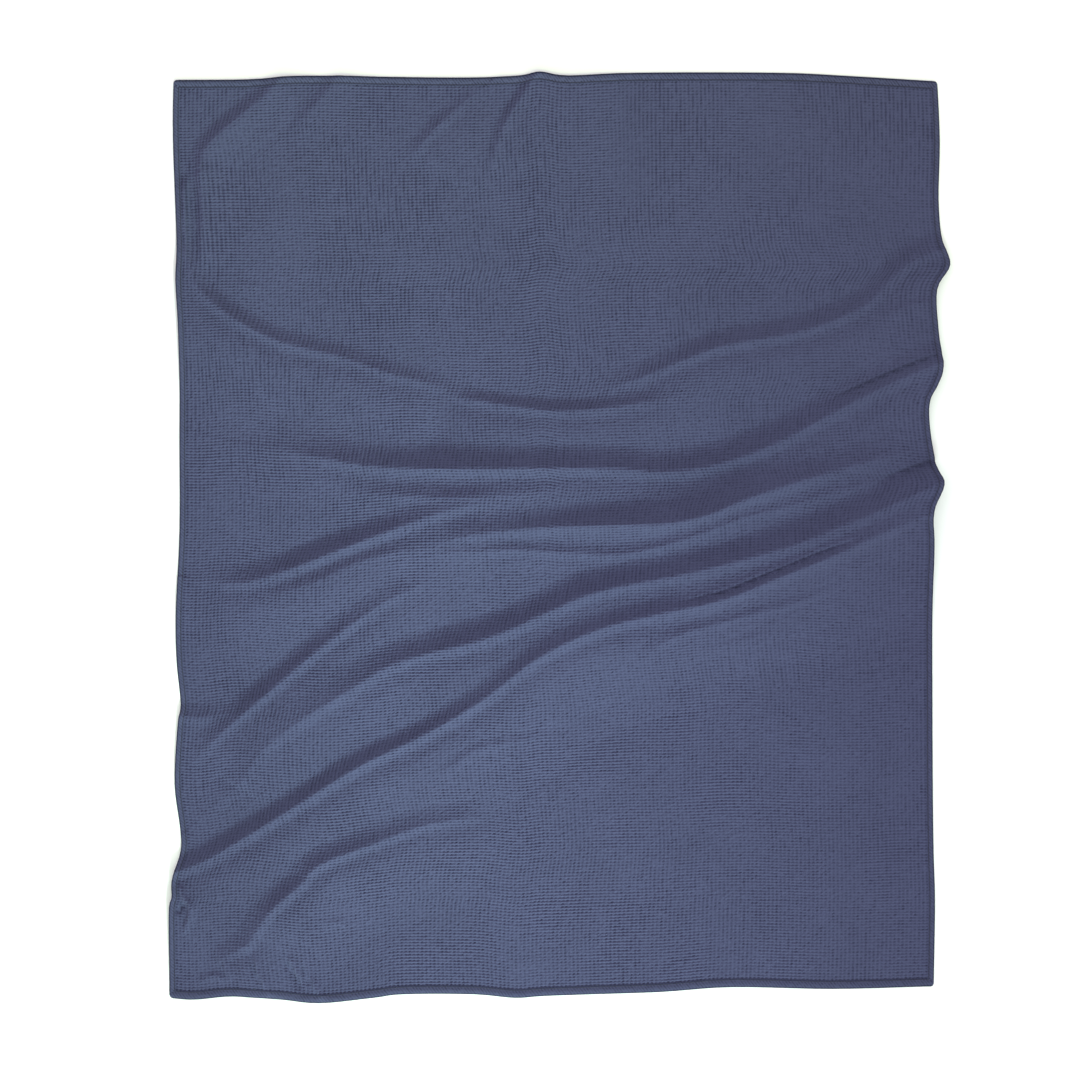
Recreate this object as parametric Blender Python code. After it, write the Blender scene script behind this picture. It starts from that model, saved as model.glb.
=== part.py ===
"""Waffle weave cotton blanket: one hemmed cloth, lying loosely on a flat surface with the soft
folds that are left when it is pulled almost straight.

Metres, +Z up. +X runs to the right and +Y up the cloth's length as it is seen from above. The
underside lies on z = 0 and the folds stand up from there, hollow underneath as cloth is.
"""

from collections import namedtuple

import bmesh
import bpy
import numpy as np

MM = 0.001

# The cloth. A double-turned hem is part of it, and only thicker.
LAID_WIDTH = 1285 * MM
LAID_LENGTH = 1545 * MM
CLOTH_THICKNESS = 3.0 * MM
HEM_THICKNESS = 4.5 * MM
END_HEM = 14.0 * MM
SIDE_HEM = 8.5 * MM
CORNER_RADIUS = 6.0 * MM
COTTON_BLUE = (0.085, 0.102, 0.180, 1.0)
COTTON_ROUGHNESS = 0.92

# The folds' cross-section, as (distance from the crest, height): the steep flank in shares of its
# width, and the gentle flank in shares of the distance to its hollow. There a slack cloth has a
# swell past the hollow and a long slope down, and a tight one has neither.
STEEP_SECTION = (
    (0, 1), (0.10, 0.96), (0.25, 0.80), (0.5, 0.38), (0.75, 0.10), (1.0, 0), (1.3, 0),
)
SLACK_SECTION = (
    (0, 1), (0.2, 0.94), (0.45, 0.78), (0.66, 0.71), (0.95, 0.74), (1.4, 0.85), (1.85, 0.91),
    (2.6, 0.87), (3.9, 0.64), (5.8, 0.28), (7.8, 0), (8.6, 0),
)
TIGHT_SECTION = (
    (0, 1), (0.25, 0.91), (0.7, 0.60), (1.2, 0.30), (1.9, 0.08), (2.6, 0), (8.6, 0),
)

# The mesh: rows and columns fine enough for the crests, then thinned where the cloth is flat. What
# lies lower than SETTLE is pressed onto z = 0.
ROW_PITCH = END_HEM / 2
COLUMN_PITCH = SIDE_HEM
UPPER_TRIANGLES = 4_800
CURVE_STEPS = 8
SETTLE = 0.2 * MM

# Each edge of the laid cloth: points in millimetres, (along the edge, out from the middle).
LEFT_EDGE = (
    (-774, -652), (-630, -652), (-600, -647), (-573, -647), (-523, -633), (-486, -634),
    (-412, -643), (-315, -638), (-278, -633), (-204, -640), (-121, -642), (13, -635),
    (147, -636), (432, -643), (499, -640), (667, -647), (781, -645),
)
RIGHT_EDGE = (
    (-740, 626), (-606, 628), (-489, 625), (-171, 623), (-20, 626), (42, 625), (89, 642),
    (122, 631), (189, 620), (229, 620), (256, 633), (286, 642), (348, 635), (415, 632),
    (457, 654), (497, 642), (566, 636), (667, 638), (781, 633),
)
TOP_EDGE = (
    (-652, 767), (-518, 768), (-417, 774), (-266, 772), (-149, 771), (-65, 774), (-25, 780),
    (22, 774), (136, 779), (370, 779), (487, 774), (635, 765),
)
BOTTOM_EDGE = (
    (-652, -769), (-601, -773), (-534, -767), (-459, -772), (-390, -779), (-300, -770),
    (-250, -764), (-132, -764), (-62, -770), (-15, -767), (69, -764), (186, -760),
    (303, -752), (471, -755), (628, -751),
)

# One row for each fold, in millimetres: how wide its steep flank is, how far its hollow lies from
# the crest, how slack the cloth is there (0 to 1), its heights at even steps along the crest, and
# the crest's points. The crest runs with the steep flank on its left hand.
Fold = namedtuple("Fold", "name steep gentle slack heights crest")
FOLDS = (
    Fold("upper sweep, left", 24, 20, 1, (2, 7, 7, 7, 7, 0), (
        (-625, 462), (-601, 417), (-543, 366), (-467, 328), (-368, 303), (-285, 275),
        (-201, 254), (-154, 237),
    )),
    Fold("upper sweep, middle", 20, 20, 1, (0, 8.5, 9.5, 9, 7, 0), (
        (-203, 241), (-141, 232), (-65, 215), (2, 205), (69, 218), (136, 223), (211, 237),
    )),
    Fold("upper sweep, right", 28, 21, 1, (0, 7, 9, 10, 12, 15, 15), (
        (52, 248), (128, 264), (204, 295), (279, 321), (405, 345), (506, 384), (561, 436),
        (597, 465), (663, 488),
    )),
    Fold("long sweep", 42, 22, 1, (0, 8, 13, 15, 15, 14, 16, 17, 16), (
        (-484, 151), (-384, 131), (-266, 116), (69, 115), (169, 109), (253, 119), (353, 153),
        (471, 215), (571, 265), (663, 302),
    )),
    Fold("left bridge", 33, 23, 1, (0, 8, 13, 14, 12, 0), (
        (-601, -69), (-534, -76), (-459, -56), (-367, -21), (-266, 17), (-166, 51), (-82, 60),
    )),
    Fold("right bridge", 38, 22, 1, (0, 11, 15, 14, 12, 8, 0), (
        (-183, -12), (-99, 0), (35, 17), (169, 21), (245, 37), (320, 67), (420, 99),
        (521, 128), (605, 152),
    )),
    Fold("great diagonal", 36, 24, 1, (0, 5, 9, 12, 14, 16, 15, 14, 14, 14), (
        (-593, -464), (-534, -414), (-497, -358), (-434, -308), (-350, -255), (-266, -208),
        (-116, -167), (-15, -123), (69, -89), (236, -55), (387, -12), (487, 37), (571, 77),
        (663, 117),
    )),
    Fold("lower diagonal", 28, 22, 1, (12, 14, 14, 13, 12, 10, 11, 15, 13, 8, 0), (
        (-660, -564), (-601, -544), (-540, -510), (-436, -446), (-334, -382), (-234, -334),
        (-133, -275), (-33, -200), (69, -152), (169, -127), (270, -103), (370, -64),
        (504, -10),
    )),
    Fold("right bank", 105, 36, 0.4, (0, 6, 13, 16, 16, 16), (
        (-60, -170), (80, -120), (236, -85), (387, -42), (500, 5), (663, 80),
    )),
    Fold("left diagonal", 31, 20, 1, (0, 8, 12, 12, 9, 4, 0), (
        (-616, -392), (-601, -365), (-559, -322), (-481, -255), (-384, -174), (-291, -108),
        (-199, -64),
    )),
    Fold("left notch", 28, 20, 0.6, (8, 7, 0), (
        (-660, -294), (-601, -301), (-538, -290),
    )),
    Fold("lower corner", 34, 19, 1, (3, 12, 11, 7, 5, 3, 0), (
        (-535, -735), (-504, -660), (-456, -600), (-400, -545), (-317, -514), (-216, -479),
        (-99, -464),
    )),
    Fold("corner bank", 80, 30, 0, (7, 7, 0), (
        (-520, -790), (-510, -665), (-420, -560),
    )),
    Fold("upper corner", 25, 30, 0, (0, 7, 8.5, 8, 7, 6), (
        (-596, 558), (-601, 616), (-585, 658), (-534, 704), (-484, 747), (-451, 790),
    )),
    Fold("top pull, left", 24, 28, 0, (0, 4, 5, 6), (
        (-436, 650), (-428, 699), (-398, 735), (-355, 790),
    )),
    Fold("top pull, middle", 28, 20, 1, (0, 4, 4, 0), (
        (-208, 658), (-186, 690), (-149, 724), (-99, 759),
    )),
    Fold("top pull, right", 27, 22, 0.6, (0, 5, 6, 7), (
        (-102, 620), (-84, 692), (-55, 736), (-22, 795),
    )),
)


def clear_scene():
    for thing in list(bpy.context.scene.objects):
        bpy.data.objects.remove(thing, do_unlink=True)


def smooth_curve(points):
    """A Catmull-Rom curve through the points, in the points' own units."""
    given = np.array(points, float)
    given = np.vstack([2 * given[0] - given[1], given, 2 * given[-1] - given[-2]])
    before, start, end, after = given[:-3], given[1:-2], given[2:-1], given[3:]
    pieces = []
    for t in np.arange(CURVE_STEPS) / CURVE_STEPS:
        pieces.append(
            start
            + (end - before) * t / 2
            + (2 * before - 5 * start + 4 * end - after) * t**2 / 2
            + (3 * start - before - 3 * end + after) * t**3 / 2
        )
    return np.vstack([np.stack(pieces, axis=1).reshape(-1, 2), given[-2]])


def edge_reader(points):
    """A function that reads how far out an edge lies at each place along it."""
    along, out = smooth_curve(points).T * MM
    return lambda place: np.interp(place, along, out)


def rise(share):
    """From 0 to 1 with soft ends, as share goes from 0 to 1."""
    share = np.clip(share, 0, 1)
    return share * share * (3 - 2 * share)


def crest_reach(x, y, line):
    """How far each point lies off a crest line, to its left hand (+) or right hand (-), and what
    share of the line it has passed."""
    nearest = np.full(x.shape, np.inf)
    side = np.ones(x.shape)
    place = np.zeros(x.shape)
    travelled = 0.0
    for (ax, ay), (bx, by) in zip(line[:-1], line[1:]):
        length = np.hypot(bx - ax, by - ay)
        dx, dy = (bx - ax) / length, (by - ay) / length
        along = np.clip((x - ax) * dx + (y - ay) * dy, 0, length)
        off = np.hypot(x - ax - along * dx, y - ay - along * dy)
        closer = off < nearest
        nearest[closer] = off[closer]
        side[closer] = np.sign(dx * (y - ay) - dy * (x - ax))[closer]
        place[closer] = travelled + along[closer]
        travelled += length
    return nearest * side, place / travelled


def flank(section, off, width):
    """How high a flank stands at each distance from the crest, from 1 down to 0."""
    places, heights = smooth_curve(section).T
    return np.clip(np.interp(off / (width * MM), places, heights), 0, 1)


def crest_height(share, heights):
    """The crest's height at each share of its length, easing from one given height to the next."""
    step, part = np.divmod(share * (len(heights) - 1), 1)
    return np.interp(step + rise(part), np.arange(len(heights)), heights) * MM


def fold_height(x, y, fold):
    off, share = crest_reach(x, y, smooth_curve(fold.crest) * MM)
    gentle_side = fold.slack * flank(SLACK_SECTION, -off, fold.gentle)
    gentle_side += (1 - fold.slack) * flank(TIGHT_SECTION, -off, fold.gentle)
    shape = np.where(off > 0, flank(STEEP_SECTION, off, fold.steep), gentle_side)
    return shape * crest_height(share, fold.heights)


def rounded_corners(across, along):
    """The cloth's square corners drawn in to quarter circles, in metres from the middle."""
    inner_x = np.minimum(np.abs(across), LAID_WIDTH / 2 - CORNER_RADIUS)
    inner_y = np.minimum(np.abs(along), LAID_LENGTH / 2 - CORNER_RADIUS)
    past_x, past_y = np.abs(across) - inner_x, np.abs(along) - inner_y
    reach = np.hypot(past_x, past_y)
    pull = np.where(reach > 0, np.maximum(past_x, past_y) / np.maximum(reach, 1e-12), 1)
    return np.sign(across) * (inner_x + past_x * pull), np.sign(along) * (inner_y + past_y * pull)


def laid_out(u, v):
    """Where each point of the cloth lies, from its place on the flat cloth (-0.5 to 0.5), and
    how high the folds lift it there."""
    across, along = rounded_corners(u * LAID_WIDTH, v * LAID_LENGTH)
    bottom, top = edge_reader(BOTTOM_EDGE)(across), edge_reader(TOP_EDGE)(across)
    y = bottom + (top - bottom) * (along / LAID_LENGTH + 0.5)
    left, right = edge_reader(LEFT_EDGE)(y), edge_reader(RIGHT_EDGE)(y)
    x = left + (right - left) * (across / LAID_WIDTH + 0.5)
    return x, y, sum(fold_height(x, y, fold) for fold in FOLDS)


def cotton():
    material = bpy.data.materials.new("blue_cotton")
    material.use_nodes = True
    shader = material.node_tree.nodes["Principled BSDF"]
    shader.inputs["Base Color"].default_value = COTTON_BLUE
    shader.inputs["Roughness"].default_value = COTTON_ROUGHNESS
    shader.inputs["Metallic"].default_value = 0.0
    return material


def upper_face():
    """The cloth's upper face as an open surface, with its hem in a vertex group."""
    bm = bmesh.new()
    columns, rows = round(LAID_WIDTH / COLUMN_PITCH), round(LAID_LENGTH / ROW_PITCH)
    bmesh.ops.create_grid(bm, x_segments=columns, y_segments=rows, size=0.5)
    mesh = bpy.data.meshes.new("blanket")
    bm.to_mesh(mesh)
    bm.free()

    flat = np.empty(3 * len(mesh.vertices), np.float32)
    mesh.vertices.foreach_get("co", flat)
    u, v = flat.reshape(-1, 3)[:, :2].astype(float).T
    from_side = (0.5 - np.abs(u)) * LAID_WIDTH
    from_end = (0.5 - np.abs(v)) * LAID_LENGTH
    in_hem = (from_side < SIDE_HEM + COLUMN_PITCH / 2) | (from_end < END_HEM + ROW_PITCH / 2)
    x, y, lift = laid_out(u, v)
    x, y = x - (x.min() + x.max()) / 2, y - (y.min() + y.max()) / 2
    z = lift + np.where(in_hem, HEM_THICKNESS, CLOTH_THICKNESS)
    mesh.vertices.foreach_set("co", np.stack([x, y, z], axis=1).ravel())
    mesh.update()

    cloth = bpy.data.objects.new("blanket", mesh)
    cloth.vertex_groups.new(name="hem").add(np.flatnonzero(in_hem).tolist(), 1.0, "REPLACE")
    return cloth


def thin_out(cloth):
    """Fewer triangles where the cloth is flat."""
    thin = cloth.modifiers.new("thin out", "DECIMATE")
    thin.ratio = UPPER_TRIANGLES / (2 * len(cloth.data.polygons))
    evaluated = cloth.evaluated_get(bpy.context.evaluated_depsgraph_get())
    mesh = bpy.data.meshes.new_from_object(evaluated)
    cloth.modifiers.clear()
    cloth.data = mesh


def thicken(cloth):
    """The underside, straight below the upper face and as far as makes the cloth equally thick
    on its slopes, and the edge between the two."""
    bm = bmesh.new()
    bm.from_mesh(cloth.data)
    bm.normal_update()
    group = bm.verts.layers.deform.verify()
    upper = list(bm.verts)
    lower = []
    for vertex in upper:
        thickness = HEM_THICKNESS if vertex[group].get(0, 0) > 0.5 else CLOTH_THICKNESS
        x, y, z = vertex.co
        z -= thickness / vertex.normal.z
        lower.append(bm.verts.new((x, y, z if z > SETTLE else 0.0)))
    below = dict(zip(upper, lower))
    rim = [edge.link_loops[0] for edge in bm.edges if edge.is_boundary]
    walls = [(loop.link_loop_next.vert, loop.vert) for loop in rim]
    for face in list(bm.faces):
        bm.faces.new([below[vertex] for vertex in reversed(face.verts)])
    for start, end in walls:
        bm.faces.new((start, end, below[end], below[start]))
    bm.to_mesh(cloth.data)
    bm.free()
    cloth.vertex_groups.clear()
    cloth.data.shade_smooth()


def main():
    clear_scene()
    collection = bpy.data.collections.new("waffle_weave_blanket")
    bpy.context.scene.collection.children.link(collection)
    blanket = upper_face()
    collection.objects.link(blanket)
    thin_out(blanket)
    thicken(blanket)
    blanket.data.materials.append(cotton())


main()
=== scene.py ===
"""The looks of the waffle weave cotton blanket: its waffle cells, sewn hems, folds and creases.

Metres, +Z up, seen from above with +Y up the picture. Every point is worked out from its place on
the flat cloth: `Cloth` says where that place lies once the blanket is laid out with its folds.
"""

from collections import namedtuple

import bmesh
import bpy
import numpy as np
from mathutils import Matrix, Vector, noise


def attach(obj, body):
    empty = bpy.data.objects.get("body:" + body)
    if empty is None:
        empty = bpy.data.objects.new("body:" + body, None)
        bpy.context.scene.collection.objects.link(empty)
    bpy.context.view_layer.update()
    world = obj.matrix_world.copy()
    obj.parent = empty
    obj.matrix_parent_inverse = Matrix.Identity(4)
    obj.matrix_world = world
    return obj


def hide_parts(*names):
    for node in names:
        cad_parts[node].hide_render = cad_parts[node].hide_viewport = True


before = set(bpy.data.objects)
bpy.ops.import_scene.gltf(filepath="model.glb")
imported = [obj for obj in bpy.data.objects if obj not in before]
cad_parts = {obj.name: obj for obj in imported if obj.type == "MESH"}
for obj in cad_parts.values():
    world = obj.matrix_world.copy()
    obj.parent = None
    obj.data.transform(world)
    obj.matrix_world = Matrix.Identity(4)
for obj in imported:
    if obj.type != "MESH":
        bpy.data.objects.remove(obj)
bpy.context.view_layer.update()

MM = 0.001
NODE = "blanket"

# The cloth, laid out, and the size it was finished to.
LAID_WIDTH = 1285 * MM
LAID_LENGTH = 1545 * MM
CLOTH_THICKNESS = 3.0 * MM
END_HEM = 14.0 * MM
SIDE_HEM = 10.5 * MM
CORNER_RADIUS = 6.0 * MM

# The waffle weave: oblong cells, a ridge round each one and a pit in its middle. Drops are measured
# down from the corners where the ridges meet. Where the weave is tight, its rows' ridges drop by
# DROP_VARIES more and its columns' ridges by as much less, and where it is loose the other way.
CELL_WIDTH = 6.87 * MM
CELL_LENGTH = 5.02 * MM
UNDER_HEM = 1.0 * MM
PIT_DEPTH = 2.1 * MM
PIT_VARIES = 0.40 * MM
ROW_RIDGE_DROP = 0.75 * MM
COLUMN_RIDGE_DROP = 0.62 * MM
DROP_VARIES = 0.38 * MM
TENSION_GAIN = 2
LOOSE_THREADS = 0.20 * MM
LOOSE_SEED = 5
LEAST_DROP = -0.3 * MM
MOST_DROP = 2.6 * MM
WAFFLE_SHELLS = 4

# The pits grow shallower towards the right, by this share in the end, and from this share of the
# width off the middle on.
FLATTER_RIGHT = 0.25
FLATTER_FROM = -0.35

# How far the rows and columns wander off the straight, how far in from the edges they do so in
# full, how far a high fold draws the columns to the left, and the height that does most of it.
ROW_WANDER = 1.2 * MM
BROAD_WANDER = 5.0 * MM
CALM_EDGE = 90 * MM
FOLD_PULL = 12.0 * MM
PULLING_HEIGHT = 17.0 * MM

# Smooth unevenness: how long its waves are, how far apart its places are read, and its seed.
Wave = namedtuple("Wave", "length step seed")
ROWS_BEND = Wave(70 * MM, 10 * MM, 7.7)
COLUMNS_LEAN = Wave(90 * MM, 10 * MM, 11.3)
BROAD_BEND = Wave(330 * MM, 10 * MM, 23.1)
BROAD_LEAN = Wave(290 * MM, 10 * MM, 31.7)
TENSION = Wave(85 * MM, 10 * MM, 19.9)
SWELL = Wave(110 * MM, 12 * MM, 3.1)

# The folds' cross-section, as (distance from the crest, height): the steep flank in shares of its
# width, and the gentle flank in shares of the distance to its hollow. There a slack cloth has a
# swell past the hollow and a long slope down, and a tight one has neither.
STEEP_SECTION = (
    (0, 1), (0.06, 0.94), (0.16, 0.80), (0.36, 0.53), (0.6, 0.25), (0.82, 0.07), (1.0, 0), (1.3, 0),
)
SLACK_SECTION = (
    (0, 1), (0.12, 0.95), (0.45, 0.78), (0.66, 0.71), (0.95, 0.74), (1.4, 0.85), (1.85, 0.91),
    (2.6, 0.87), (3.9, 0.64), (5.8, 0.28), (7.8, 0), (8.6, 0),
)
TIGHT_SECTION = (
    (0, 1), (0.25, 0.91), (0.7, 0.60), (1.2, 0.30), (1.9, 0.08), (2.6, 0), (8.6, 0),
)
CURVE_STEPS = 5
RELIEF_STEP = 2.5 * MM
RELIEF_MARGIN = 30 * MM
SWELL_HEIGHT = 1.6 * MM

# The camera looks straight down from this far above the floor, so that the picture is as wide as
# VIEW_WIDTH there, with VIEW_CENTRE in its middle.
VIEW_WIDTH = 1.809
VIEW_CENTRE = (-0.0322, -0.0038)
LENS = 100.0
SENSOR = 36.0

# Each edge of the laid cloth: points in millimetres, (along the edge, out from the middle).
LEFT_EDGE = (
    (-774, -652), (-630, -652), (-600, -647), (-573, -647), (-523, -633), (-486, -634),
    (-412, -643), (-315, -638), (-278, -633), (-204, -640), (-121, -641), (13, -635),
    (147, -635), (260, -635), (360, -637), (432, -641), (499, -640), (667, -646), (781, -645),
)
RIGHT_EDGE = (
    (-740, 628), (-606, 630), (-489, 627), (-171, 625), (-20, 627), (42, 625), (89, 642),
    (122, 631), (189, 620), (229, 620), (256, 633), (286, 642), (348, 635), (415, 632),
    (457, 654), (497, 642), (566, 636), (667, 638), (781, 633),
)
TOP_EDGE = (
    (-652, 767), (-518, 768), (-417, 774), (-266, 772), (-149, 771), (-65, 774), (-25, 780),
    (22, 774), (136, 779), (370, 779), (487, 774), (635, 765),
)
BOTTOM_EDGE = (
    (-652, -769), (-601, -773), (-534, -767), (-459, -772), (-390, -779), (-300, -770),
    (-250, -764), (-132, -764), (-62, -770), (-15, -767), (69, -764), (186, -760),
    (303, -752), (471, -755), (628, -751),
)

# One row for each fold, in millimetres: how wide its steep flank is, how far its hollow lies from
# the crest, how slack the cloth is there (0 to 1), its heights at even steps along the crest, and
# the crest's points. The crest runs with the steep flank on its left hand.
Fold = namedtuple("Fold", "name steep gentle slack heights crest")
FOLDS = (
    Fold("upper sweep, left", 27, 20, 1, (0, 11, 14, 11, 9, 8, 7, 0), (
        (-642, 520), (-618, 456), (-597, 411), (-543, 366), (-467, 328), (-368, 303),
        (-285, 275), (-201, 254), (-154, 237),
    )),
    Fold("upper sweep, middle", 22, 20, 1, (0, 9, 10.5, 9.5, 7, 0), (
        (-203, 241), (-141, 230), (-80, 220), (-20, 213), (40, 213), (100, 219), (160, 229),
        (211, 239),
    )),
    Fold("upper sweep, right", 31, 21, 1, (0, 9, 13, 14, 14, 15, 15), (
        (52, 248), (128, 264), (204, 295), (279, 321), (405, 345), (506, 384), (561, 436),
        (597, 465), (663, 488),
    )),
    Fold("long sweep", 42, 22, 0.85, (1, 11, 18, 21, 20, 18, 18, 17, 16), (
        (-484, 151), (-384, 131), (-266, 116), (69, 115), (169, 109), (253, 119), (353, 153),
        (471, 215), (571, 265), (663, 302),
    )),
    Fold("left bridge", 34, 23, 1, (2, 12, 17, 16, 10, 0), (
        (-601, -69), (-534, -76), (-459, -56), (-367, -21), (-266, 17), (-166, 51), (-82, 60),
    )),
    Fold("right bridge", 38, 22, 0.5, (0, 13, 17, 19, 18, 16, 13, 9, 0), (
        (-235, -12), (-157, 2), (-95, 11), (-32, 16), (52, 20), (169, 23), (245, 37), (320, 67),
        (420, 99), (521, 128), (605, 152),
    )),
    Fold("great diagonal", 42, 24, 0.8, (2, 9, 13, 16, 19, 21, 18, 15, 13, 13), (
        (-593, -464), (-534, -414), (-497, -358), (-434, -308), (-350, -255), (-266, -208),
        (-116, -167), (-15, -123), (69, -89), (236, -55), (387, -14), (487, 26), (571, 62),
        (663, 105),
    )),
    Fold("lower diagonal", 28, 22, 1, (13, 15, 15, 15, 14, 12, 13, 16, 14, 12, 10, 6), (
        (-660, -564), (-601, -544), (-540, -510), (-436, -446), (-334, -382), (-234, -334),
        (-133, -275), (-33, -200), (69, -152), (169, -127), (270, -103), (370, -64),
        (460, -28), (540, 8), (612, 38),
    )),
    Fold("right bank", 105, 60, 0.3, (0, 6, 12, 14, 13, 13), (
        (-60, -170), (80, -120), (236, -85), (387, -42), (500, 5), (663, 80),
    )),
    Fold("left diagonal", 31, 20, 1, (0, 10, 15, 15, 12, 7, 0), (
        (-616, -392), (-601, -365), (-559, -322), (-481, -255), (-384, -174), (-291, -108),
        (-199, -64),
    )),
    Fold("left notch", 28, 20, 0.6, (8, 7, 0), (
        (-660, -294), (-601, -301), (-538, -290),
    )),
    Fold("lower corner", 32, 19, 1, (0, 9, 16, 16, 13, 10, 7, 0), (
        (-590, -722), (-560, -702), (-521, -680), (-504, -657), (-484, -628), (-456, -601),
        (-429, -578), (-400, -547), (-317, -514), (-216, -479), (-99, -464),
    )),
    Fold("corner bank", 80, 30, 0, (7, 7, 0), (
        (-520, -790), (-510, -665), (-420, -560),
    )),
    Fold("upper corner", 25, 30, 0, (0, 9, 10.5, 9.5, 8, 6), (
        (-596, 558), (-601, 616), (-585, 658), (-534, 704), (-484, 747), (-451, 790),
    )),
    Fold("top pull, left", 24, 28, 0, (0, 4, 5, 6), (
        (-436, 650), (-428, 699), (-398, 735), (-355, 790),
    )),
    Fold("top pull, middle", 22, 20, 1, (0, 6, 7, 5, 2), (
        (-254, 624), (-232, 655), (-200, 690), (-163, 724), (-132, 750),
    )),
    Fold("top pull, right", 17, 22, 0.6, (0, 7, 9, 8, 7), (
        (-112, 598), (-104, 650), (-90, 692), (-62, 738), (-26, 795),
    )),
    Fold("bank under the long sweep", 62, 26, 0, (0, 6, 11, 13, 12, 8, 0), (
        (-60, 14), (35, 17), (169, 21), (245, 37), (320, 67), (420, 99), (521, 128), (605, 152),
    )),
    Fold("crease below the left bridge", 24, 16, 0.4, (0, 3, 4, 5, 3, 0), (
        (-503, -104), (-409, -74), (-335, -40), (-263, -22), (-185, -18),
    )),
    Fold("crease below the right bridge", 21, 14, 0.5, (0, 5, 7, 7, 8, 9, 9, 8, 6, 4, 0), (
        (-225, -26), (-147, -23), (-74, -20), (10, -25), (94, -28), (156, -18), (230, 4),
        (308, 33), (387, 54), (471, 80), (554, 100),
    )),
    Fold("bank above the great diagonal", 92, 40, 0, (0, 6, 10, 11, 9), (
        (100, -82), (236, -55), (387, -14), (487, 26), (571, 62), (663, 105),
    )),
    Fold("bank above the long sweep", 62, 40, 0, (0, 5, 6, 4, 0), (
        (-570, 168), (-484, 150), (-384, 130), (-266, 115), (-150, 112), (-60, 112),
    )),
    Fold("bank above the long sweep, right", 115, 60, 0, (0, 4, 7, 7, 6), (
        (253, 119), (353, 153), (471, 215), (571, 265), (663, 302),
    )),
    Fold("bank under the great diagonal", 42, 30, 0, (0, 4, 7, 7, 6, 5, 0), (
        (110, -145), (169, -127), (270, -103), (370, -64), (504, -10), (600, 40),
    )),
    Fold("slit above the lower diagonal", 6, 6, 0, (0, -7, -9, -8, -8, 0), (
        (188, -109), (266, -93), (345, -62), (397, -41), (449, -20), (502, -2),
    )),
    Fold("slit at the right edge", 8, 8, 0, (0, -6, -9, -10, -8), (
        (530, 94), (565, 107), (600, 119), (640, 132),
    )),
    Fold("slit above the long sweep", 7, 7, 0, (0, -6, -8, -9, -8, -4), (
        (448, 228), (497, 250), (545, 271), (590, 289), (645, 309),
    )),
    Fold("crease under the lower diagonal", 18, 14, 0.6, (0, 5, 5, 4, 0), (
        (133, -222), (158, -186), (205, -160), (290, -136), (404, -104), (471, -74),
    )),
    Fold("crease beside it", 9, 11, 0, (0, 1.5, 0), (
        (219, -201), (303, -171), (387, -151),
    )),
    Fold("crease between the bridges", 24, 18, 0.5, (0, 5, 7, 6, 3, 0), (
        (-367, 78), (-266, 70), (-157, 68), (-65, 72), (10, 80),
    )),
    Fold("crease on the left", 14, 18, 0.3, (0, 3, 3, 2, 0), (
        (-216, -402), (-174, -379), (-132, -352), (-65, -338), (18, -327),
    )),
    Fold("rolled left edge", 10, 9, 0, (0, 8, 9, 8, 5, 0), (
        (-622, 612), (-625, 590), (-626, 560), (-626, 520), (-624, 485), (-620, 450),
    )),
    Fold("edge of the roll", 12, 24, 0, (0, 6, 9, 9, 6), (
        (-600, 440), (-598, 480), (-597, 530), (-598, 575), (-601, 605),
    )),
    Fold("crease under the upper sweep", 9, 11, 0, (0, 1.5, 0), (
        (-559, 432), (-526, 424), (-476, 419),
    )),
    Fold("tuck in the lower corner", 8, 6, 0, (0, 6, 9, 9, 6, 0), (
        (-630, -668), (-618, -635), (-616, -615), (-626, -600), (-638, -572),
    )),
    Fold("pit beside the tuck", 4, 5, 0, (0, -7, -7, 0), (
        (-643, -628), (-634, -619), (-630, -612), (-632, -606),
    )),
    Fold("ripple by the corner", 9, 10, 0, (0, 3, 0), (
        (-618, -749), (-576, -732), (-534, -749),
    )),
    Fold("first ripple at the lower hem", 9, 7, 0, (0, 4, 4, 0), (
        (-546, -745), (-556, -720), (-564, -700), (-570, -680),
    )),
    Fold("second ripple at the lower hem", 9, 7, 0, (4, 5, 5, 0), (
        (-484, -762), (-494, -741), (-507, -718), (-515, -690),
    )),
    Fold("third ripple at the lower hem", 9, 7, 0, (0, 4, 4, 0), (
        (-426, -748), (-434, -732), (-446, -711), (-454, -690),
    )),
    Fold("groove beside the second ripple", 6, 6, 0, (0, -6, -7, -5, 0), (
        (-519, -682), (-513, -702), (-506, -724), (-497, -748),
    )),
    Fold("groove beside the third ripple", 6, 6, 0, (0, -5, -6, 0), (
        (-458, -700), (-447, -722), (-436, -744), (-427, -760),
    )),
    Fold("groove beside the fourth ripple", 5, 5, 0, (0, -4, -5, 0), (
        (-431, -710), (-422, -732), (-411, -755),
    )),
    Fold("fourth ripple at the lower hem", 8, 7, 0, (4, 4, 0), (
        (-398, -768), (-410, -748), (-424, -726),
    )),
    Fold("crease above the lower hem", 9, 10, 0, (0, 2, 0), (
        (-404, -637), (-375, -643), (-347, -633),
    )),
    Fold("crease in the upper right", 9, 10, 0, (0, 2, 0), (
        (370, 754), (395, 709), (424, 658),
    )),
    Fold("crease on the upper sweep", 14, 14, 0, (0, 4, 3, 0), (
        (538, 369), (580, 385), (647, 405),
    )),
)

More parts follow.
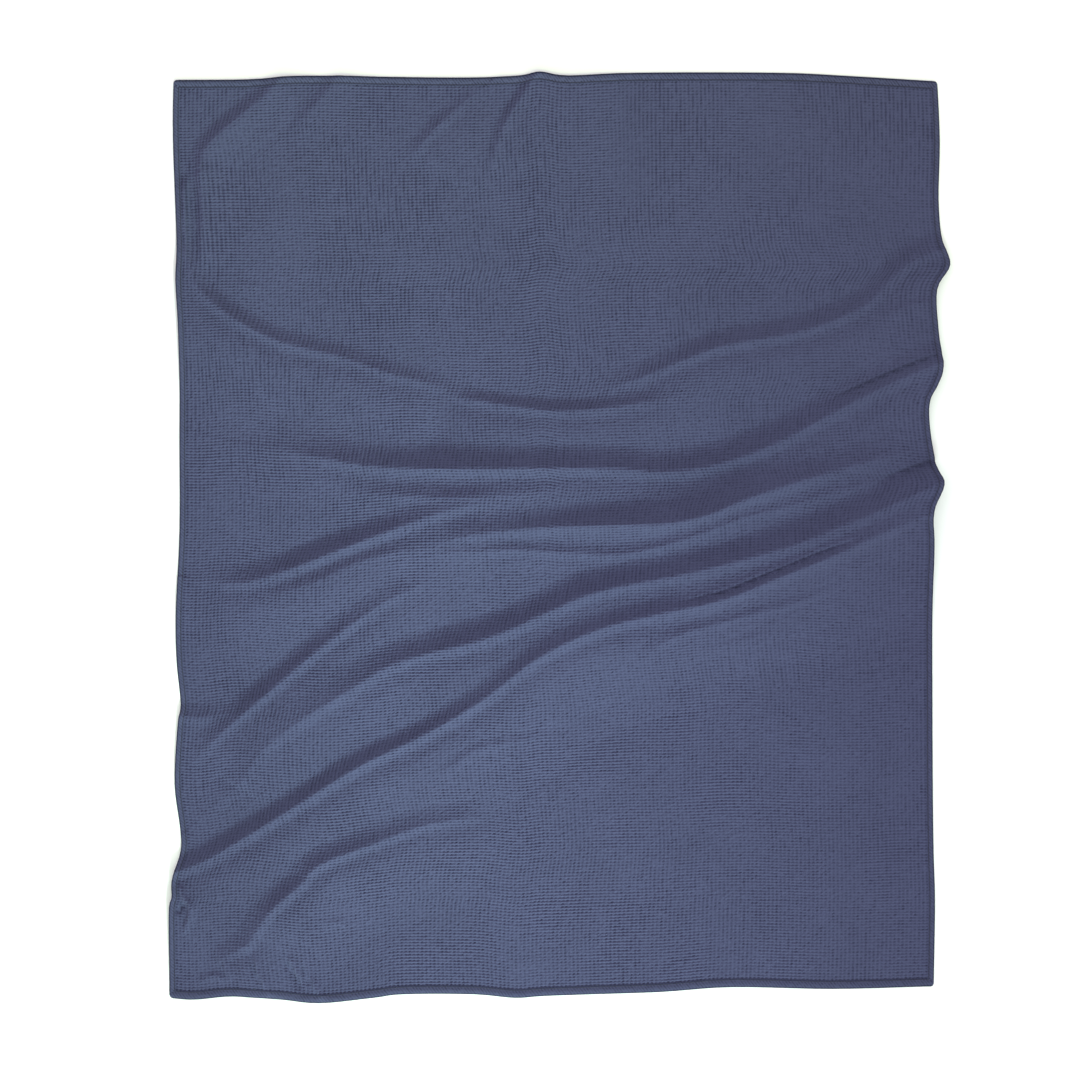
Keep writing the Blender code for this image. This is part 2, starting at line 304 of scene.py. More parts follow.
# The hems' cross-sections in millimetres: (in from the cloth's edge, above its underside), from
# under the hem's inner edge round the outside to the row of stitches and the inner edge on top. The
# first UNDERSIDE_POINTS of them bear no ribs.
END_PROFILE = (
    (14.6, 0.6), (12.0, 0.0), (2.0, 0.0), (0.7, 0.5), (0.0, 1.6), (0.1, 2.9), (0.9, 4.0),
    (2.6, 4.5), (5.0, 4.6), (7.2, 4.4), (9.0, 3.8), (10.6, 3.2), (12.0, 2.6), (12.7, 3.2),
    (13.6, 3.4), (14.2, 3.0), (14.6, 2.0), (14.8, 1.2),
)
SIDE_PROFILE = (
    (11.1, 0.6), (9.5, 0.0), (1.8, 0.0), (0.6, 0.5), (0.0, 1.6), (0.1, 2.8), (0.8, 3.8),
    (2.2, 4.3), (4.4, 4.4), (6.6, 4.2), (8.0, 3.0), (8.9, 2.5), (9.6, 3.4), (10.3, 3.4),
    (10.8, 2.2), (11.0, 1.2),
)
UNDERSIDE_POINTS = 4
HEM_STEP = 1.25 * MM

# A side hem runs this far in under the end hems. An end hem closes round at its two tips, over
# END_ROUNDING, to the height END_MIDDLE.
HEM_TUCK = 3.0 * MM
END_ROUNDING = 2.2 * MM
END_MIDDLE = 1.6 * MM
ROUNDING_STEPS = 4

# The slanting ribs, which start and end softly: a little in from the hem's edge, and at a share of
# its width.
RIB_PITCH = 5.4 * MM
RIB_LEAN = -0.8
RIB_RELIEF = 0.85 * MM
RIB_START = 1.0 * MM
RIB_END = 0.84
RIB_SOFTNESS = 1.5 * MM

# Each hem's painted shade: how far its dark rim and its seam lie in from its edge, in millimetres,
# and how dark the painted shade in the grooves between its ribs and in its seam is (0 to 1). The
# ends and the sides differ because the light falls on them differently.
HemLook = namedtuple("HemLook", "name rim seam ribs dark_seam")
TOP_LOOK = HemLook("blue_top_hem_cotton", 3.0, 13.0, 0.85, 0.60)
BOTTOM_LOOK = HemLook("blue_bottom_hem_cotton", 2.0, 13.0, 0.65, 0.80)
SIDE_LOOK = HemLook("blue_side_hem_cotton", 2.1, 9.0, 0.60, 0.40)

# The rows of stitches: (in from the cloth's edge, above its underside), and how far from its ends
# a row stops. A stitch is (share of its length from its middle, height in millimetres).
END_STITCHES = (12.0 * MM, 2.9 * MM)
SIDE_STITCHES = (8.6 * MM, 2.8 * MM)
END_ROW_STOPS = 3 * MM
SIDE_ROW_STOPS = 1 * MM
STITCH_LENGTH = 3.6 * MM
STITCH_GAP = 0.8 * MM
STITCH_SHAPE = ((-0.5, -0.55), (-0.36, 0.1), (0.0, 0.25), (0.36, 0.1), (0.5, -0.55))
THREAD_RADIUS = 0.55 * MM
THREAD_SIDES = 6

BACK_COLUMNS = 94
BACK_ROWS = 157
OUTLINE_STEPS = 600


def smooth_curve(points):
    """A Catmull-Rom curve through the points, in the points' own units."""
    given = np.array(points, float)
    given = np.vstack([2 * given[0] - given[1], given, 2 * given[-1] - given[-2]])
    before, start, end, after = given[:-3], given[1:-2], given[2:-1], given[3:]
    pieces = []
    for t in np.arange(CURVE_STEPS) / CURVE_STEPS:
        pieces.append(
            start
            + (end - before) * t / 2
            + (2 * before - 5 * start + 4 * end - after) * t**2 / 2
            + (3 * start - before - 3 * end + after) * t**3 / 2
        )
    return np.vstack([np.stack(pieces, axis=1).reshape(-1, 2), given[-2]])


def rise(share):
    """From 0 to 1 with soft ends, as share goes from 0 to 1."""
    share = np.clip(share, 0, 1)
    return share * share * (3 - 2 * share)


def crest_reach(x, y, line):
    """How far each point lies off a crest line, to its left hand (+) or right hand (-), and what
    share of the line it has passed."""
    nearest = np.full(x.shape, np.inf)
    side = np.ones(x.shape)
    place = np.zeros(x.shape)
    travelled = 0.0
    for (ax, ay), (bx, by) in zip(line[:-1], line[1:]):
        length = np.hypot(bx - ax, by - ay)
        dx, dy = (bx - ax) / length, (by - ay) / length
        along = np.clip((x - ax) * dx + (y - ay) * dy, 0, length)
        off = np.hypot(x - ax - along * dx, y - ay - along * dy)
        closer = off < nearest
        nearest[closer] = off[closer]
        side[closer] = np.sign(dx * (y - ay) - dy * (x - ax))[closer]
        place[closer] = travelled + along[closer]
        travelled += length
    return nearest * side, place / travelled


def flank(section, off, width):
    """How high a flank stands at each distance from the crest, from 1 down to 0."""
    places, heights = section
    return np.clip(np.interp(off / (width * MM), places, heights), 0, 1)


def fold_height(x, y, fold, sections):
    """How high one fold lifts the cloth at each place."""
    line = smooth_curve(fold.crest) * MM
    off, share = crest_reach(x, y, line)
    step, part = np.divmod(share * (len(fold.heights) - 1), 1)
    crest = np.interp(step + rise(part), np.arange(len(fold.heights)), fold.heights) * MM
    steep, slack, tight = sections
    gentle_side = fold.slack * flank(slack, -off, fold.gentle)
    gentle_side += (1 - fold.slack) * flank(tight, -off, fold.gentle)
    return np.where(off > 0, flank(steep, off, fold.steep), gentle_side) * crest


class Chart:
    """Values on an even grid, read smoothly between its points."""

    # A place is kept this much of a step short of the last point, so that one always comes next.
    SHORT = 0.001

    def __init__(self, values, low, step):
        self.values, self.low, self.step = values, low, step

    def __call__(self, x, y):
        rows, columns = self.values.shape
        across = np.clip((x - self.low[0]) / self.step[0], 0, columns - 1 - self.SHORT)
        along = np.clip((y - self.low[1]) / self.step[1], 0, rows - 1 - self.SHORT)
        column, row = across.astype(int), along.astype(int)
        right, up = across - column, along - row
        lower = self.values[row, column] * (1 - right) + self.values[row, column + 1] * right
        upper = (
            self.values[row + 1, column] * (1 - right) + self.values[row + 1, column + 1] * right
        )
        return lower * (1 - up) + upper * up


def wander(low, high, wave):
    """A chart of a wave's smooth unevenness between two corners, about -1 to 1."""
    xs, ys = (np.arange(low[i], high[i] + wave.step, wave.step) for i in (0, 1))
    values = [
        [noise.noise(Vector((x / wave.length, y / wave.length, wave.seed))) for x in xs]
        for y in ys
    ]
    return Chart(np.array(values), low, (wave.step, wave.step))


def relief_chart():
    """How high the folds lift the cloth at every place on the floor that it covers."""
    reach = (LAID_WIDTH / 2 + RELIEF_MARGIN, LAID_LENGTH / 2 + RELIEF_MARGIN)
    xs = np.arange(-reach[0], reach[0], RELIEF_STEP)
    ys = np.arange(-reach[1], reach[1], RELIEF_STEP)
    heights = np.zeros((len(ys), len(xs)))
    sections = [smooth_curve(rows).T for rows in (STEEP_SECTION, SLACK_SECTION, TIGHT_SECTION)]
    for fold in FOLDS:
        line = smooth_curve(fold.crest) * MM
        margin = SLACK_SECTION[-1][0] * fold.gentle * MM
        low, high = line.min(axis=0) - margin, line.max(axis=0) + margin
        columns = np.flatnonzero((xs > low[0]) & (xs < high[0]))
        rows = np.flatnonzero((ys > low[1]) & (ys < high[1]))
        place = np.ix_(rows, columns)
        x, y = np.meshgrid(xs[columns], ys[rows])
        heights[place] += fold_height(x, y, fold, sections)
    x, y = np.meshgrid(xs, ys)
    low = (-reach[0], -reach[1])
    swell = wander(low, reach, SWELL)(x, y)
    heights = np.maximum(heights + SWELL_HEIGHT * np.clip(swell, 0, 1), 0)
    return Chart(heights, low, (RELIEF_STEP, RELIEF_STEP))


def edge_reader(points):
    """A function that reads how far out an edge lies at each place along it."""
    along, out = smooth_curve(points).T * MM
    return lambda place: np.interp(place, along, out)


class Cloth:
    """Where each place on the flat cloth lies. Places are (across, along) from the middle."""

    # The slack chart's steps, and how many of its columns to each side a column is evened with.
    SLACK_STEP = (10 * MM, 2.5 * MM)
    EVENING = 5

    def __init__(self):
        self.edges = [edge_reader(e) for e in (LEFT_EDGE, RIGHT_EDGE, BOTTOM_EDGE, TOP_EDGE)]
        self.lift = relief_chart()
        self.slack = self.slack_chart()
        low, high = self.outline_box()
        self.shift = -(low + high) / 2

    def ground(self, across, along):
        """The place on the floor under the cloth, as the uneven edges spread it."""
        left, right, bottom, top = self.edges
        low, high = bottom(across), top(across)
        y = low + (high - low) * (along / LAID_LENGTH + 0.5)
        low, high = left(y), right(y)
        return low + (high - low) * (across / LAID_WIDTH + 0.5), y

    def slack_chart(self):
        """For each column of the cloth, where its even steps lie when the folds take up length,
        evened out with its neighbours because the weave keeps its rows straight."""
        columns = np.arange(-LAID_WIDTH / 2, LAID_WIDTH / 2 + MM, self.SLACK_STEP[0])
        rows = np.arange(-LAID_LENGTH / 2, LAID_LENGTH / 2 + MM, self.SLACK_STEP[1])
        across, along = np.meshgrid(columns, rows)
        x, y = self.ground(across, along)
        z = self.lift(x, y)
        stride = np.hypot(np.diff(y, axis=0), np.diff(z, axis=0))
        travelled = np.vstack([np.zeros(len(columns)), np.cumsum(stride, axis=0)])
        even = np.linspace(0, 1, len(rows))
        settled = np.empty_like(along)
        for j in range(len(columns)):
            settled[:, j] = np.interp(even, travelled[:, j] / travelled[-1, j], rows)
        weights = np.hanning(2 * self.EVENING + 3)[1:-1]
        padded = np.pad(settled, ((0, 0), (self.EVENING, self.EVENING)), mode="edge")
        evened = sum(w * padded[:, k : k + len(columns)] for k, w in enumerate(weights))
        return Chart(evened / weights.sum(), (columns[0], rows[0]), self.SLACK_STEP)

    def height_at(self, across, along):
        """How high the folds lift a place on the cloth."""
        return self.lift(*self.ground(across, self.slack(across, along)))

    def outline_box(self):
        """The lowest and the highest x and y of the laid cloth's edges."""
        steps = np.linspace(-0.5, 0.5, OUTLINE_STEPS)
        across, along = steps * LAID_WIDTH, steps * LAID_LENGTH
        edges = []
        for end in (-0.5, 0.5):
            edges.append(self.ground(across, np.full(OUTLINE_STEPS, end * LAID_LENGTH)))
            edges.append(self.ground(np.full(OUTLINE_STEPS, end * LAID_WIDTH), along))
        points = np.hstack([np.stack(edge) for edge in edges])
        return points.min(axis=1), points.max(axis=1)

    def __call__(self, across, along, height):
        """Points in the frame, a height above the cloth's underside."""
        x, y = self.ground(across, self.slack(across, along))
        z = self.lift(x, y) + height
        return np.stack([x + self.shift[0], y + self.shift[1], z], axis=-1)


def grid_mesh(name, points, cloth_uv, bake_uv=False):
    """A mesh over a grid of points, with the weave's coordinates."""
    rows, columns = points.shape[:2]
    bm = bmesh.new()
    bmesh.ops.create_grid(bm, x_segments=columns - 1, y_segments=rows - 1, size=0.5)
    mesh = bpy.data.meshes.new(name)
    bm.to_mesh(mesh)
    bm.free()
    flat = np.empty(3 * len(mesh.vertices), np.float32)
    mesh.vertices.foreach_get("co", flat)
    u, v = flat.reshape(-1, 3)[:, :2].T + 0.5
    column, row = np.rint(u * (columns - 1)).astype(int), np.rint(v * (rows - 1)).astype(int)
    mesh.vertices.foreach_set("co", points[row, column].astype(np.float32).ravel())

    corner = np.empty(len(mesh.loops), np.int32)
    mesh.loops.foreach_get("vertex_index", corner)
    layer = mesh.uv_layers.new(name="Cloth")
    layer.data.foreach_set("uv", cloth_uv[row, column][corner].astype(np.float32).ravel())
    if bake_uv:
        low, high = points[..., :2].min(axis=(0, 1)), points[..., :2].max(axis=(0, 1))
        planar = (points[row, column][corner][:, :2] - low) / (high - low)
        layer = mesh.uv_layers.new(name="OFBake")
        layer.data.foreach_set("uv", planar.astype(np.float32).ravel())
    mesh.update()
    return mesh


def show(name, mesh, material):
    """A piece of the blanket in the scene, on the blanket's body and with its finish."""
    piece = bpy.data.objects.new(name, mesh)
    bpy.context.scene.collection.objects.link(piece)
    mesh.materials.append(material)
    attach(piece, "root")
    return piece


def waffle_points(cloth):
    """The upper face inside the hems, two steps to a cell each way, and its weave coordinates."""
    width = LAID_WIDTH - 2 * (SIDE_HEM - UNDER_HEM)
    length = LAID_LENGTH - 2 * (END_HEM - UNDER_HEM)
    columns, rows = 2 * round(width / CELL_WIDTH), 2 * round(length / CELL_LENGTH)
    i, j = np.meshgrid(np.arange(columns + 1), np.arange(rows + 1))
    across, along = (i / columns - 0.5) * width, (j / rows - 0.5) * length

    reach = (LAID_WIDTH / 2, LAID_LENGTH / 2)
    low = (-reach[0], -reach[1])
    inside = rise(np.minimum(reach[0] - np.abs(across), reach[1] - np.abs(along)) / CALM_EDGE)
    bend, lean, broad_bend, broad_lean, tension = (
        wander(low, reach, wave)(across, along)
        for wave in (ROWS_BEND, COLUMNS_LEAN, BROAD_BEND, BROAD_LEAN, TENSION)
    )
    pull = FOLD_PULL * np.tanh(cloth.height_at(across, along) / PULLING_HEIGHT)
    across = across + inside * (ROW_WANDER * lean + BROAD_WANDER * broad_lean - pull)
    along = along + inside * (ROW_WANDER * bend + BROAD_WANDER * broad_bend)

    loose = np.random.default_rng(LOOSE_SEED).standard_normal(across.shape)
    depth = PIT_DEPTH * (1 - FLATTER_RIGHT * rise(across / LAID_WIDTH - FLATTER_FROM))
    odd_i, odd_j = i % 2 == 1, j % 2 == 1
    tension = DROP_VARIES * np.clip(TENSION_GAIN * tension, -1, 1)
    drop = np.where(odd_i & odd_j, depth + PIT_VARIES * loose, LOOSE_THREADS * loose)
    drop += np.where(odd_i & ~odd_j, ROW_RIDGE_DROP + tension, 0.0)
    drop += np.where(~odd_i & odd_j, COLUMN_RIDGE_DROP - tension, 0.0)
    points = cloth(across, along, CLOTH_THICKNESS - np.clip(drop, LEAST_DROP, MOST_DROP))
    return points, np.stack([i / 2, j / 2], axis=-1)


def waffle(cloth, material):
    """The waffle cells, in a few shells that share their edges."""
    points, cells = waffle_points(cloth)
    whole_cells = (len(points) - 1) // 2
    cuts = [2 * round(whole_cells * k / WAFFLE_SHELLS) for k in range(WAFFLE_SHELLS + 1)]
    shells = []
    for k, (start, end) in enumerate(zip(cuts[:-1], cuts[1:])):
        part = slice(start, end + 1)
        mesh = grid_mesh(f"waffle_{k + 1}", points[part], cells[part], bake_uv=True)
        mesh.shade_flat()
        shells.append(show(mesh.name, mesh, material))
    return shells


def hem_coordinates(along, inward):
    """How many ribs along the hem each place lies, and how many millimetres in from its rim."""
    ribs = (along + RIB_LEAN * inward) / RIB_PITCH
    return np.stack([ribs, np.broadcast_to(inward / MM, ribs.shape)], axis=-1)


def hem_relief(along, inward, width):
    """The slanting ribs that the folded weave raises on a hem, between its rim and its stitches."""
    ribs = np.cos(2 * np.pi * hem_coordinates(along, inward)[..., 0])
    starting = rise((inward - RIB_START) / RIB_SOFTNESS)
    ending = rise((RIB_END * width - inward) / RIB_SOFTNESS)
    return RIB_RELIEF * ribs * (starting * ending)


def end_hem(cloth, end):
    """The points of the hem at one end of the cloth, round at the corners. end is -1 or 1."""
    inward, height = np.array(END_PROFILE).T * MM
    half = LAID_WIDTH / 2
    inset = END_ROUNDING * np.linspace(0, 1, ROUNDING_STEPS + 1)
    steps = round((LAID_WIDTH - 2 * END_ROUNDING) / HEM_STEP)
    body = np.linspace(-half + END_ROUNDING, half - END_ROUNDING, steps + 1)
    stations = np.concatenate([-half + inset[:-1], body, half - inset[:-1][::-1]])
    from_tip = half - np.abs(stations)
    round_off = np.sqrt(np.clip(1 - (1 - np.clip(from_tip / END_ROUNDING, 0, 1)) ** 2, 0, 1))

    past = np.clip(CORNER_RADIUS - inward, 0, CORNER_RADIUS)
    drawn_in = CORNER_RADIUS - np.sqrt(CORNER_RADIUS**2 - past**2)
    across = stations[:, None] * (1 - drawn_in[None, :] / half)
    along = end * (LAID_LENGTH / 2 - np.broadcast_to(inward, across.shape))
    top = np.arange(len(inward)) >= UNDERSIDE_POINTS
    ribs = np.where(top, hem_relief(across * end, inward[None, :], END_HEM), 0.0)
    heights = END_MIDDLE + (height[None, :] + ribs - END_MIDDLE) * round_off[:, None]
    points = cloth(across, along, heights)
    uv = hem_coordinates(across * end, inward[None, :])
    return (points, uv) if end < 0 else (points[::-1], uv[::-1])


def side_hem(cloth, side):
    """The points of the hem along one side, tucked under the end hems. side is -1 or 1."""
    inward, height = np.array(SIDE_PROFILE).T * MM
    half = LAID_LENGTH / 2 - END_HEM + HEM_TUCK
    stations = np.linspace(-half, half, round(2 * half / HEM_STEP) + 1)
    along = np.repeat(stations[:, None], len(inward), axis=1)
    across = side * (LAID_WIDTH / 2 - np.broadcast_to(inward, along.shape))
    top = np.arange(len(inward)) >= UNDERSIDE_POINTS
    ribs = np.where(top, hem_relief(along * side, inward[None, :], SIDE_HEM), 0.0)
    points = cloth(across, along, height[None, :] + ribs)
    uv = hem_coordinates(along * side, inward[None, :])
    return (points, uv) if side > 0 else (points[::-1], uv[::-1])


def hems(cloth, top_cotton, bottom_cotton, side_cotton):
    """The four hems, each as one piece."""
    pieces = []
    for name, (points, uv), material in (
        ("hem_bottom", end_hem(cloth, -1), bottom_cotton),
        ("hem_top", end_hem(cloth, 1), top_cotton),
        ("hem_left", side_hem(cloth, -1), side_cotton),
        ("hem_right", side_hem(cloth, 1), side_cotton),
    ):
        mesh = grid_mesh(name, points, uv)
        mesh.shade_smooth()
        pieces.append(show(name, mesh, material))
    return pieces


def back(cloth, material):
    """The underside between the hems."""
    width = LAID_WIDTH - 2 * (SIDE_HEM - 2 * UNDER_HEM)
    length = LAID_LENGTH - 2 * (END_HEM - 2 * UNDER_HEM)
    shares = (np.linspace(-0.5, 0.5, steps + 1) for steps in (BACK_COLUMNS, BACK_ROWS))
    i, j = np.meshgrid(*shares)
    points = cloth(i * width, j * length, 0.0)
    cells = np.stack([i * width / CELL_WIDTH, j * length / CELL_LENGTH], axis=-1)
    mesh = grid_mesh("blanket_back", points[:, ::-1], cells[:, ::-1], bake_uv=True)
    mesh.shade_smooth()
    return show(mesh.name, mesh, material)


def stitch_rows():
    """The rows of stitches: each is the places of the stitches' middles, how high they lie and
    which way they run."""
    pitch = STITCH_LENGTH + STITCH_GAP
    inward, height = END_STITCHES
    for end in (-1, 1):
        reach = LAID_WIDTH / 2 - END_ROW_STOPS
        along = np.arange(-reach, reach, pitch)
        yield along, np.full(len(along), end * (LAID_LENGTH / 2 - inward)), height, (1, 0)
    inward, height = SIDE_STITCHES
    for side in (-1, 1):
        reach = LAID_LENGTH / 2 - END_HEM - SIDE_ROW_STOPS
        along = np.arange(-reach, reach, pitch)
        yield np.full(len(along), side * (LAID_WIDTH / 2 - inward)), along, height, (0, 1)


def stitches(cloth, material):
    """Every stitch, a short length of thread that dips into the cloth at both ends."""
    shares, dips = np.array(STITCH_SHAPE).T
    angle = 2 * np.pi * np.arange(THREAD_SIDES) / THREAD_SIDES
    upright = np.array([0.0, 0.0, 1.0])
    rings = []
    for across, along, height, (run_x, run_y) in stitch_rows():
        offset = shares[None, :] * STITCH_LENGTH
        x = across[:, None] + run_x * offset
        y = along[:, None] + run_y * offset
        spine = cloth(x, y, height + dips[None, :] * MM)
        sideways = np.array([run_y, run_x, 0.0])
        ring = (
            np.cos(angle)[:, None] * sideways[None, :]
            + np.sin(angle)[:, None] * upright[None, :]
        ) * THREAD_RADIUS
        rings.append(spine[:, :, None, :] + ring[None, None, :, :])
    points = np.concatenate(rings)
    count, spots, sides = points.shape[:3]
    faces = []
    for k in range(spots - 1):
        for a in range(sides):
            b = (a + 1) % sides
            faces.append((k * sides + a, k * sides + b, (k + 1) * sides + b, (k + 1) * sides + a))
    first_points = spots * sides * np.arange(count)
    every = np.array(faces)[None, :, :] + first_points[:, None, None]
    mesh = bpy.data.meshes.new("stitches")
    mesh.from_pydata(points.reshape(-1, 3).tolist(), [], every.reshape(-1, 4).tolist())
    mesh.shade_smooth()
    return show("stitches", mesh, material)


class Nodes:
    """A short way to write a material's nodes."""

    def __init__(self, name):
        self.material = bpy.data.materials.new(name)
        self.material.use_nodes = True
        self.tree = self.material.node_tree
        self.shader = self.tree.nodes["Principled BSDF"]

    def add(self, kind, settings=None, **inputs):
        node = self.tree.nodes.new(kind)
        for key, value in (settings or {}).items():
            setattr(node, key, value)
        for key, value in inputs.items():
            self.put(node.inputs[key.replace("_", " ")], value)
        return node

    def put(self, socket, value):
        if isinstance(value, bpy.types.NodeSocket):
            self.tree.links.new(value, socket)
        else:
            socket.default_value = value

    def math(self, operation, *values):
        node = self.tree.nodes.new("ShaderNodeMath")
        node.operation = operation
        for socket, value in zip(node.inputs, values):
            self.put(socket, value)
        return node.outputs[0]

    def mix(self, factor, first, second):
        node = self.tree.nodes.new("ShaderNodeMix")
        node.data_type = "RGBA"
        self.put(node.inputs["Factor"], factor)
        self.put(node.inputs["A"], first)
        self.put(node.inputs["B"], second)
        return node.outputs["Result"]

    def scale(self, colour, factor):
        """A colour made lighter or darker."""
        node = self.tree.nodes.new("ShaderNodeVectorMath")
        node.operation = "SCALE"
        self.put(node.inputs[0], colour)
        self.put(node.inputs["Scale"], factor)
        return node.outputs[0]

    def noise(self, vector, scale, detail=2.0, roughness=0.5):
        node = self.add(
            "ShaderNodeTexNoise", Scale=scale, Detail=detail, Roughness=roughness, Vector=vector
        )
        return node.outputs["Fac"]

    def stretched(self, vector, stretch, shift=(0.0, 0.0, 0.0)):
        node = self.add("ShaderNodeMapping", Vector=vector, Scale=stretch, Location=shift)
        return node.outputs["Vector"]

    def ramp(self, value, low, high):
        """value brought softly from low..high to 0..1."""
        node = self.add("ShaderNodeMapRange", Value=value, From_Min=low, From_Max=high)
        node.interpolation_type = "SMOOTHSTEP"
        return node.outputs["Result"]

    def cloth_place(self):
        """The weave's own coordinates."""
        return self.add("ShaderNodeUVMap", {"uv_map": "Cloth"}).outputs["UV"]


# The cotton's colours. The pit, hem groove and rim colours are painted shade: the dark that falls
# into the waffle pits, between the hems' ribs, in their seams and on their rolled rims.
RIDGE_COLOUR = (0.0618, 0.0655, 0.1327, 1.0)
PIT_PAINTED_SHADE = (0.0381, 0.0390, 0.0862, 1.0)
HEM_COLOUR = (0.0624, 0.0655, 0.1300, 1.0)
HEM_GROOVE_PAINTED_SHADE = (0.0245, 0.0247, 0.0545, 1.0)
RIM_PAINTED_SHADE = (0.0155, 0.0165, 0.0426, 1.0)
THREAD_COLOUR = (0.0247, 0.0230, 0.0535, 1.0)
THREAD_SHADE = (0.0144, 0.0130, 0.0337, 1.0)
THREAD_TWIST = 900.0

# The cotton itself: how fine its cloud, slubs and fuzz are (a bigger scale is finer), by what share
# cloud and slubs vary the brightness, and how much the fuzz adds to relief and roughness.
CLOUD_SCALE = 9.0
CLOUD_SHARE = 0.16
SLUB_SCALES = (6.0, 330.0)
SLUB_SHARES = (0.12, 0.10)
FUZZ_SCALE = 1900.0
FUZZ_RELIEF = 0.35
FUZZ_ROUGHNESS = 0.10
COTTON_ROUGHNESS = 0.84
COTTON_BUMP = 0.6

# The weave, in cells: yarns to a cell (across, along), how softly upright yarns give way to level
# ones, where a pit's wall starts and ends (0 on the ridge, 1 in the pit), how dark the painted
# shade in a pit is at least, and how much darker it is by chance.
YARNS = (8, 6)
YARNS_MEET = 0.25
PIT_WALL = (0.10, 0.95)
PIT_SHADE = 0.5
PIT_SHADE_CHANCE = 0.6

# The grooves' painted shade, which comes and goes: how drawn out it and its patches are, where a
# groove's wall starts and ends, between which values of the noise it fades in, their seeds, and how
# dark it is. The columns' painted shade grows darker towards the upper left, where the light falls
# across them, counted in cells off the diagonal.
GROOVE_STRETCH = 0.16
PATCH_STRETCH = (0.05, 0.037, 1.0)
GROOVE_WALL = (0.25, 0.95)
GROOVE_LEVELS = (0.38, 0.66)
PATCH_LEVELS = (0.38, 0.62)
COLUMN_SEED = 3.7
ROW_SEED = 8.9
ROW_GROOVE_SHADE = 0.25
COLUMN_GROOVE_SHADE = 0.45
UPPER_LEFT_GROOVE_SHADE = 0.9
UPPER_LEFT_CELLS = (-60.0, 300.0)

# The hems' painted shade: from where to where a rib's flank falls into its shaded groove, how the
# grooves' painted shade comes and goes, and in millimetres how the seam's painted shade fades to
# its sides and how soft the inner edge of the rim's painted shade is.
RIB_FLANK = (0.6, -0.8)
RIB_UNEVEN = (0.7, 0.25, 1.0)
RIB_LEVELS = (0.3, 0.6)
SEAM_FADE = (1.8, 0.5)
RIM_SOFTNESS = 1.1

# How deep the relief that the materials add is.
YARN_DEPTH = 0.35 * MM
BACK_DEPTH = 1.3 * MM
RIB_DEPTH = 0.3 * MM
TWIST_DEPTH = 0.1 * MM


def finish_cotton(nodes, colour, height, distance):
    """The parts that every cotton surface here shares: cloud, slubs, fuzz and the shader."""
    place = nodes.add("ShaderNodeTexCoord").outputs["Object"]
    cloud = nodes.noise(place, CLOUD_SCALE, 3.0, 0.55)
    shade = nodes.math("MULTIPLY_ADD", cloud, CLOUD_SHARE, 1 - CLOUD_SHARE / 2)
    coarse, fine = SLUB_SCALES
    for stretch, share in zip(((coarse, fine, coarse), (fine, coarse, coarse)), SLUB_SHARES):
        slubs = nodes.noise(nodes.stretched(place, stretch), 1.0)
        shade = nodes.math("MULTIPLY_ADD", slubs, share, nodes.math("ADD", shade, -share / 2))
    nodes.put(nodes.shader.inputs["Base Color"], nodes.scale(colour, shade))
    fuzz = nodes.noise(place, FUZZ_SCALE, roughness=0.6)
    relief = nodes.math("MULTIPLY_ADD", fuzz, FUZZ_RELIEF, height)
    bump = nodes.add("ShaderNodeBump", Strength=COTTON_BUMP, Distance=distance, Height=relief)
    nodes.put(nodes.shader.inputs["Normal"], bump.outputs["Normal"])
    rough = nodes.math("MULTIPLY_ADD", fuzz, FUZZ_ROUGHNESS, COTTON_ROUGHNESS)
    nodes.put(nodes.shader.inputs["Roughness"], rough)
    nodes.shader.inputs["Specular IOR Level"].default_value = 0.15
    nodes.shader.inputs["Sheen Weight"].default_value = 0.06
    nodes.shader.inputs["Sheen Roughness"].default_value = 0.5
    nodes.shader.inputs["Sheen Tint"].default_value = (0.80, 0.88, 1.0, 1.0)
    return nodes.material


def cell_depth(nodes, cells):
    """0 on a cell's ridge to 1 in its pit, with how far the place is from each pair of ridges."""
    split = nodes.add("ShaderNodeSeparateXYZ", Vector=cells)
    from_ridge = []
    for axis in ("X", "Y"):
        part = nodes.math("FRACT", split.outputs[axis])
        centred = nodes.math("ABSOLUTE", nodes.math("SUBTRACT", part, 0.5))
        from_ridge.append(nodes.math("MULTIPLY_ADD", centred, -2.0, 1.0))
    return nodes.math("MINIMUM", *from_ridge), from_ridge, split


def yarn_relief(nodes, split, from_ridge):
    """Threads lying along the ridges: upright ones on the columns, level ones on the rows."""
    upright, level = (
        nodes.math("SINE", nodes.math("MULTIPLY", split.outputs[axis], 2 * np.pi * yarns))
        for axis, yarns in zip(("X", "Y"), YARNS)
    )
    nearer_row = nodes.math("SUBTRACT", from_ridge[0], from_ridge[1])
    on_row = nodes.ramp(nearer_row, -YARNS_MEET, YARNS_MEET)
    off_row = nodes.math("SUBTRACT", 1.0, on_row)
    threads = nodes.math("MULTIPLY_ADD", level, on_row, nodes.math("MULTIPLY", upright, off_row))
    return nodes.math("MULTIPLY_ADD", threads, 0.5, 0.5)


def grooves(nodes, cells, from_ridge, run, seed):
    """Painted shade in the grooves between the ridges, in stretches of a few cells that come and
    go.
    """
    if run == "columns":
        stretch, across = (1.0, GROOVE_STRETCH, 1.0), from_ridge[0]
    else:
        stretch, across = (GROOVE_STRETCH, 1.0, 1.0), from_ridge[1]
    lines = nodes.noise(nodes.stretched(cells, stretch, (seed, -seed, 0.0)), 1.0, detail=1.0)
    patches = nodes.noise(nodes.stretched(cells, PATCH_STRETCH, (-seed, seed, 0.0)), 1.0)
    strength = nodes.math(
        "MULTIPLY", nodes.ramp(lines, *GROOVE_LEVELS), nodes.ramp(patches, *PATCH_LEVELS)
    )
    return nodes.math("MULTIPLY", nodes.ramp(across, *GROOVE_WALL), strength)


